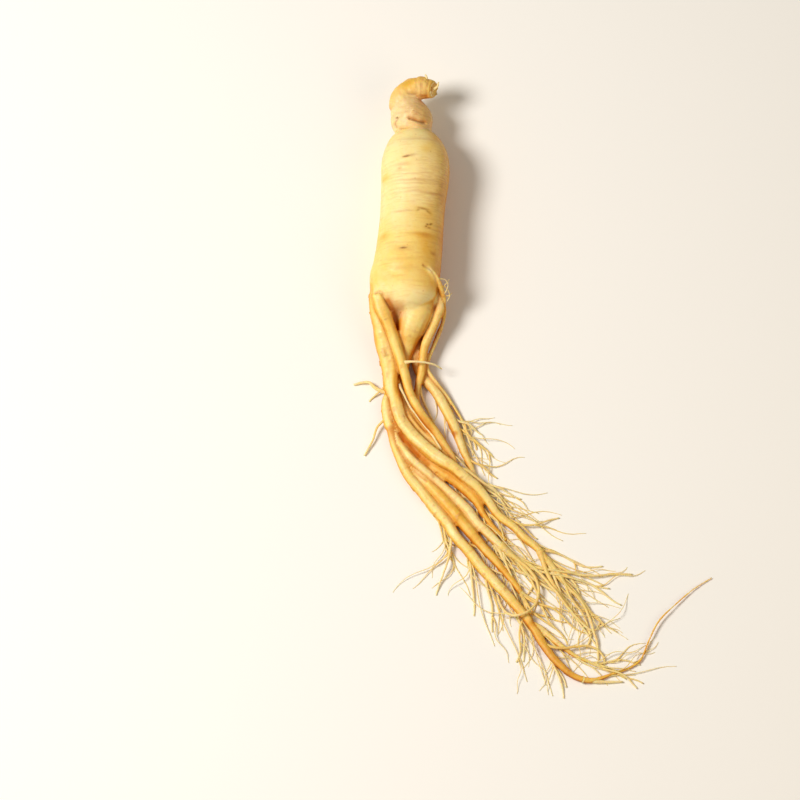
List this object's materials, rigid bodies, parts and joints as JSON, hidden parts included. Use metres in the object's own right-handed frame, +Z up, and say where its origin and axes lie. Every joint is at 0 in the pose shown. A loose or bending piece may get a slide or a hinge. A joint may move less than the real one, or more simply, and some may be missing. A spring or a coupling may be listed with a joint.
{
  "type": "ginseng root",
  "caption": "Fresh ginseng root lying on its side, with a plump body, a knobbly bent neck, forked tapering legs and fine curling rootlets.",
  "frame": {"origin": "middle of the root's length and width, on the surface that it lies on", "axes": "+Y along the root towards its neck, +Z up from the surface, +X to the right of the body as seen from above"},
  "size_m": [0.1472, 0.2648, 0.0271],
  "materials": {
    "ginseng_skin": "fresh, slightly moist root skin"
  },
  "bodies": {
    "root": {"ginseng_root": "ginseng_skin"}
  },
  "joints": []
}
